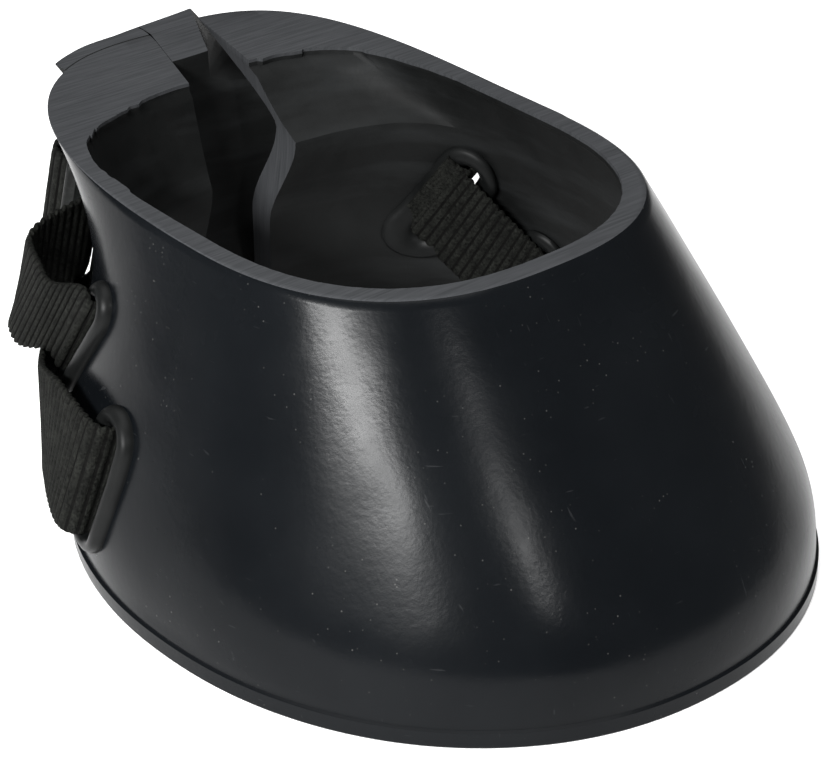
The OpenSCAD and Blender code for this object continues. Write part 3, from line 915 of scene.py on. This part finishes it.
# ---------------------------------------------------------------- materials
class Nodes:
    """Short calls for building a node material."""

    def __init__(self, name):
        self.material = bpy.data.materials.new(name)
        self.material.use_nodes = True
        self.tree = self.material.node_tree
        self.shader = self.tree.nodes["Principled BSDF"]
        self.coord = self.tree.nodes.new("ShaderNodeTexCoord")

    def link(self, a, b):
        self.tree.links.new(a, b)

    def mapped(self, scale=(1, 1, 1), rotation=(0, 0, 0)):
        node = self.tree.nodes.new("ShaderNodeMapping")
        node.inputs["Scale"].default_value = scale
        node.inputs["Rotation"].default_value = [math.radians(r) for r in rotation]
        self.link(self.coord.outputs["Object"], node.inputs["Vector"])
        return node.outputs["Vector"]

    def noise(self, scale, detail=4.0, rough=0.55, vector=None):
        node = self.tree.nodes.new("ShaderNodeTexNoise")
        node.inputs["Scale"].default_value = scale
        node.inputs["Detail"].default_value = detail
        node.inputs["Roughness"].default_value = rough
        self.link(vector or self.coord.outputs["Object"], node.inputs["Vector"])
        return node.outputs["Fac"]

    def specks(self, scale):
        node = self.tree.nodes.new("ShaderNodeTexVoronoi")
        node.inputs["Scale"].default_value = scale
        self.link(self.coord.outputs["Object"], node.inputs["Vector"])
        return node.outputs["Distance"]

    def ramp(self, fac, stops):
        node = self.tree.nodes.new("ShaderNodeValToRGB")
        elements = node.color_ramp.elements
        while len(elements) < len(stops):
            elements.new(0.5)
        for element, (at, value) in zip(elements, stops):
            element.position = at
            rgb = value if isinstance(value, tuple) else (value, value, value)
            element.color = (*rgb, 1)
        self.link(fac, node.inputs["Fac"])
        return node.outputs["Color"]

    def spread(self, fac, low_in, high_in, low_out, high_out):
        node = self.tree.nodes.new("ShaderNodeMapRange")
        for key, value in (("From Min", low_in), ("From Max", high_in), ("To Min", low_out),
                ("To Max", high_out)):
            node.inputs[key].default_value = value
        self.link(fac, node.inputs["Value"])
        return node.outputs["Result"]

    def blend_color(self, fac, a, b, mode="MIX"):
        node = self.tree.nodes.new("ShaderNodeMix")
        node.data_type = "RGBA"
        node.blend_type = mode
        for socket, value in ((node.inputs[0], fac), (node.inputs[6], a), (node.inputs[7], b)):
            if isinstance(value, (int, float)):
                socket.default_value = value
            elif isinstance(value, tuple):
                socket.default_value = (*value, 1)
            else:
                self.link(value, socket)
        return node.outputs[2]

    def add(self, a, b, op="ADD"):
        node = self.tree.nodes.new("ShaderNodeMath")
        node.operation = op
        for socket, value in zip(node.inputs, (a, b)):
            if isinstance(value, (int, float)):
                socket.default_value = value
            else:
                self.link(value, socket)
        return node.outputs[0]

    def bump(self, height, strength, distance, under=None):
        node = self.tree.nodes.new("ShaderNodeBump")
        node.inputs["Strength"].default_value = strength
        node.inputs["Distance"].default_value = distance
        self.link(height, node.inputs["Height"])
        if under is not None:
            self.link(under, node.inputs["Normal"])
        return node.outputs["Normal"]

    def finish(self, color, rough, normal=None, specular=0.5):
        self.link(color, self.shader.inputs["Base Color"])
        self.link(rough, self.shader.inputs["Roughness"])
        if normal is not None:
            self.link(normal, self.shader.inputs["Normal"])
        self.shader.inputs["Specular IOR Level"].default_value = specular
        return self.material


def scratches(n, scale, stretch, rotation):
    """Thin scattered lines: stretched noise with only its peaks kept."""
    fac = n.noise(scale, 2.0, 0.5, n.mapped(stretch, rotation))
    return n.spread(fac, 0.735, 0.79, 0.0, 1.0)


def outer_rubber():
    n = Nodes("shell_outside")
    cloud = n.noise(14, 5.0, 0.6)
    base = n.ramp(cloud, [(0.3, (0.0028, 0.0034, 0.0042)), (0.7, (0.0058, 0.0068, 0.0080))])
    dust = n.spread(n.specks(520), 0.03, 0.11, 1.0, 0.0)
    dust = n.add(dust, n.spread(n.noise(60, 3.0), 0.45, 0.62, 0.0, 1.0), "MULTIPLY")
    marks = n.add(scratches(n, 150, (1.0, 1.0, 9.0), (0, 12, 20)),
        scratches(n, 130, (9.0, 1.0, 1.5), (30, 0, 55)))
    color = n.blend_color(n.add(dust, 0.35, "MULTIPLY"), base, (0.16, 0.16, 0.15))
    color = n.blend_color(n.add(marks, 0.10, "MULTIPLY"), color, (0.08, 0.083, 0.086))
    rough = n.spread(n.noise(22, 4.0, 0.6), 0.3, 0.7, 0.19, 0.30)
    rough = n.add(rough, n.add(marks, 0.12, "MULTIPLY"))
    skin = n.bump(n.noise(900, 3.0, 0.6), 0.25, 0.00008)
    normal = n.bump(n.noise(75, 4.0, 0.55), 0.3, 0.0003, skin)
    return n.finish(color, rough, normal, 0.09)


def cut_rubber():
    n = Nodes("cut_face")
    lines = n.noise(36, 3.0, 0.6, n.mapped((2.0, 46.0, 2.0), (0, 0, -20)))
    patch = n.noise(40, 4.0, 0.6)
    base = n.ramp(lines, [(0.25, (0.030, 0.032, 0.034)), (0.75, (0.056, 0.058, 0.062))])
    shade = n.ramp(patch, [(0.3, (0.86, 0.86, 0.87)), (0.75, (1.05, 1.05, 1.05))])
    color = n.blend_color(1.0, base, shade, "MULTIPLY")
    rough = n.spread(lines, 0.2, 0.8, 0.62, 0.8)
    normal = n.bump(lines, 0.35, 0.00025)
    return n.finish(color, rough, normal, 0.12)


def inner_rubber():
    n = Nodes("shell_inside")
    cloud = n.noise(30, 6.0, 0.65)
    streak = n.noise(20, 4.0, 0.6, n.mapped((1.0, 1.0, 6.0), (20, 0, 0)))
    base = n.ramp(cloud, [(0.25, (0.003, 0.0033, 0.0033)), (0.75, (0.010, 0.0106, 0.0106))])
    color = n.blend_color(n.spread(streak, 0.5, 0.8, 0.0, 0.5), base, (0.026, 0.028, 0.029))
    rough = n.spread(cloud, 0.3, 0.7, 0.5, 0.72)
    normal = n.bump(n.noise(160, 5.0, 0.6), 0.5, 0.0004)
    return n.finish(color, rough, normal, 0.12)


def bead_rubber():
    n = Nodes("eyelet_bead")
    cloud = n.noise(90, 4.0, 0.6)
    base = n.ramp(cloud, [(0.3, (0.004, 0.0044, 0.0044)), (0.7, (0.009, 0.0095, 0.0095))])
    rough = n.spread(cloud, 0.3, 0.7, 0.34, 0.48)
    normal = n.bump(n.noise(300, 4.0, 0.6), 0.3, 0.00015)
    return n.finish(base, rough, normal, 0.1)


def webbing():
    n = Nodes("webbing")
    yarn = n.noise(1500, 4.0, 0.7)
    clump = n.noise(260, 4.0, 0.7)
    base = n.ramp(yarn, [(0.3, (0.0015, 0.0016, 0.0015)), (0.72, (0.020, 0.021, 0.019))])
    worn = n.ramp(clump, [(0.35, (0.6, 0.6, 0.6)), (0.7, (1.25, 1.25, 1.22))])
    color = n.blend_color(1.0, base, worn, "MULTIPLY")
    rough = n.spread(yarn, 0.3, 0.7, 0.7, 0.92)
    cross = n.bump(n.noise(1100, 3.0, 0.7), 0.9, 0.0005)
    normal = n.bump(clump, 0.6, 0.0006, cross)
    return n.finish(color, rough, normal, 0.05)


def webbing_groove_painted_shade():
    n = Nodes("webbing_groove_painted_shade")
    yarn = n.noise(1500, 4.0, 0.7)
    # painted shade: the faces at the bottom of the grooves get a darker base than the ribs, standing
    # in for the shade that falls in the recesses
    base = n.ramp(yarn, [(0.3, (0.0015, 0.0015, 0.0015)), (0.7, (0.006, 0.006, 0.0055))])
    rough = n.spread(yarn, 0.3, 0.7, 0.8, 0.95)
    normal = n.bump(yarn, 0.6, 0.0003)
    return n.finish(base, rough, normal, 0.05)


def slider_plastic():
    n = Nodes("slider_plastic")
    grain = n.noise(700, 4.0, 0.65)
    base = n.ramp(grain, [(0.3, (0.006, 0.0065, 0.0062)), (0.7, (0.013, 0.014, 0.0135))])
    rough = n.spread(n.noise(120, 3.0), 0.3, 0.7, 0.38, 0.52)
    normal = n.bump(grain, 0.5, 0.00025)
    return n.finish(base, rough, normal, 0.1)


# ---------------------------------------------------------------- build the pieces
outside = outer_rubber()
cut = cut_rubber()
inside = inner_rubber()
bead = bead_rubber()
fabric = webbing()
plastic = slider_plastic()

# the toe piece is this wide each way; the walls' ends lie each side of the split
TOE_PIECE = 29
HEEL_SPLIT_X = 9


def in_toe(c):
    return abs(c[0]) < TOE_PIECE and c[1] < 0


whole = build_shell([outside, cut, inside])
wing_right = pick_faces(whole, "shell_wing_right", lambda c: not in_toe(c) and (
    c[0] < 0 or c[1] > 0) and c[0] < HEEL_SPLIT_X)
wing_left = pick_faces(whole, "shell_wing_left", lambda c: not in_toe(c) and (
    c[0] >= HEEL_SPLIT_X))
toe = pick_faces(whole, "shell_toe", in_toe)
bpy.data.objects.remove(whole)

flap = build_flap([outside, inside, cut])
rims = {name: build_eyelet(name, bead) for name in EYELETS}
# the strap's second material paints shade into the grooves between the ribs
strap = build_strap([fabric, webbing_groove_painted_shade()])
slider_ring, slider_bar = build_slider(plastic)

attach(wing_right, "right_half")
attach(wing_left, "left_half")
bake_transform(toe)
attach(flap, "right_half")
for name, obj in rims.items():
    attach(obj, "right_half" if name.startswith("right") else "left_half")
    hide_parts("eyelet_" + name)
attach(strap["strap_right_run"], "right_half")
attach(strap["strap_left_run"], "left_half")
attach(strap["strap_end_run"], "right_half")
for key in ("strap_heel_lower", "strap_heel_upper"):
    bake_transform(strap[key])
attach(slider_ring, "buckle")
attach(slider_bar, "buckle")

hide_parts("shell_right")
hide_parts("shell_left")
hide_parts("heel_flap")
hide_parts("strap_anchor", "strap_inside_right", "strap_lower_right")
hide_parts("strap_lower_left", "strap_inside_left", "strap_upper_left")
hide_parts("strap_upper_right", "strap_tail")
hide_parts("slider")

# ---------------------------------------------------------------- floor, light and camera
FLOOR = 6.0
floor_mesh = bpy.data.meshes.new("floor")
floor_corners = [(x * FLOOR, y * FLOOR, 0) for x, y in ((-1, -1), (1, -1), (1, 1), (-1, 1))]
floor_mesh.from_pydata(floor_corners, [], [(0, 1, 2, 3)])
floor = bpy.data.objects.new("floor", floor_mesh)
bpy.context.scene.collection.objects.link(floor)
pale = bpy.data.materials.new("floor_white")
pale.use_nodes = True
pale_shader = pale.node_tree.nodes["Principled BSDF"]
pale_shader.inputs["Base Color"].default_value = (0.93, 0.93, 0.93, 1)
pale_shader.inputs["Roughness"].default_value = 0.6
pale_shader.inputs["Emission Color"].default_value = (1, 1, 1, 1)
pale_shader.inputs["Emission Strength"].default_value = 0.5
floor_mesh.materials.append(pale)

world = bpy.data.worlds.new("studio")
world.use_nodes = True
sky = world.node_tree.nodes["Background"]
sky.inputs["Color"].default_value = (1, 1, 1, 1)
sky.inputs["Strength"].default_value = 0.1
bpy.context.scene.world = world
bpy.context.scene.view_settings.view_transform = "Standard"


MIDDLE = (0, -0.04, 0.04)


def area_light(name, at, target, size, power, size_y=None):
    data = bpy.data.lights.new(name, "AREA")
    data.energy = power
    data.size = size
    if size_y:
        data.shape = "RECTANGLE"
        data.size_y = size_y
    obj = bpy.data.objects.new(name, data)
    obj.location = at
    obj.rotation_euler = (Vector(target) - Vector(at)).to_track_quat("-Z", "Y").to_euler()
    bpy.context.scene.collection.objects.link(obj)
    return obj


def direction_of(azimuth, elevation):
    """From the middle of the boot to a viewer. Azimuth 0 faces the toe."""
    a, e = math.radians(azimuth), math.radians(elevation)
    return Vector((math.sin(a) * math.cos(e), -math.cos(a) * math.cos(e), math.sin(e)))


def around(azimuth, elevation, distance):
    return distance * direction_of(azimuth, elevation) + Vector((0, 0, MIDDLE[2]))


area_light("overhead", (0.1, 0.2, 2.0), MIDDLE, 2.0, 32)
area_light("long_window", around(-70, 31, 1.1), MIDDLE, 0.62, 20, 0.04)
area_light("small_window", around(-8, 35, 1.2), MIDDLE, 0.08, 2.0)

CAMERA_TARGET = Vector((-11.4, -22.1, 38.8)) * MM
CAMERA_DIRECTION = direction_of(-40, 29.9)
CAMERA_DISTANCE = 0.547
CAMERA_LENS = 120.1
camera_data = bpy.data.cameras.new("camera")
camera_data.sensor_width = 36
camera_data.lens = CAMERA_LENS
camera_data.clip_start = 0.01
camera = bpy.data.objects.new("camera", camera_data)
camera.location = CAMERA_TARGET + CAMERA_DIRECTION * CAMERA_DISTANCE
camera.rotation_euler = (-CAMERA_DIRECTION).to_track_quat("-Z", "Y").to_euler()
bpy.context.scene.collection.objects.link(camera)
bpy.context.scene.camera = camera
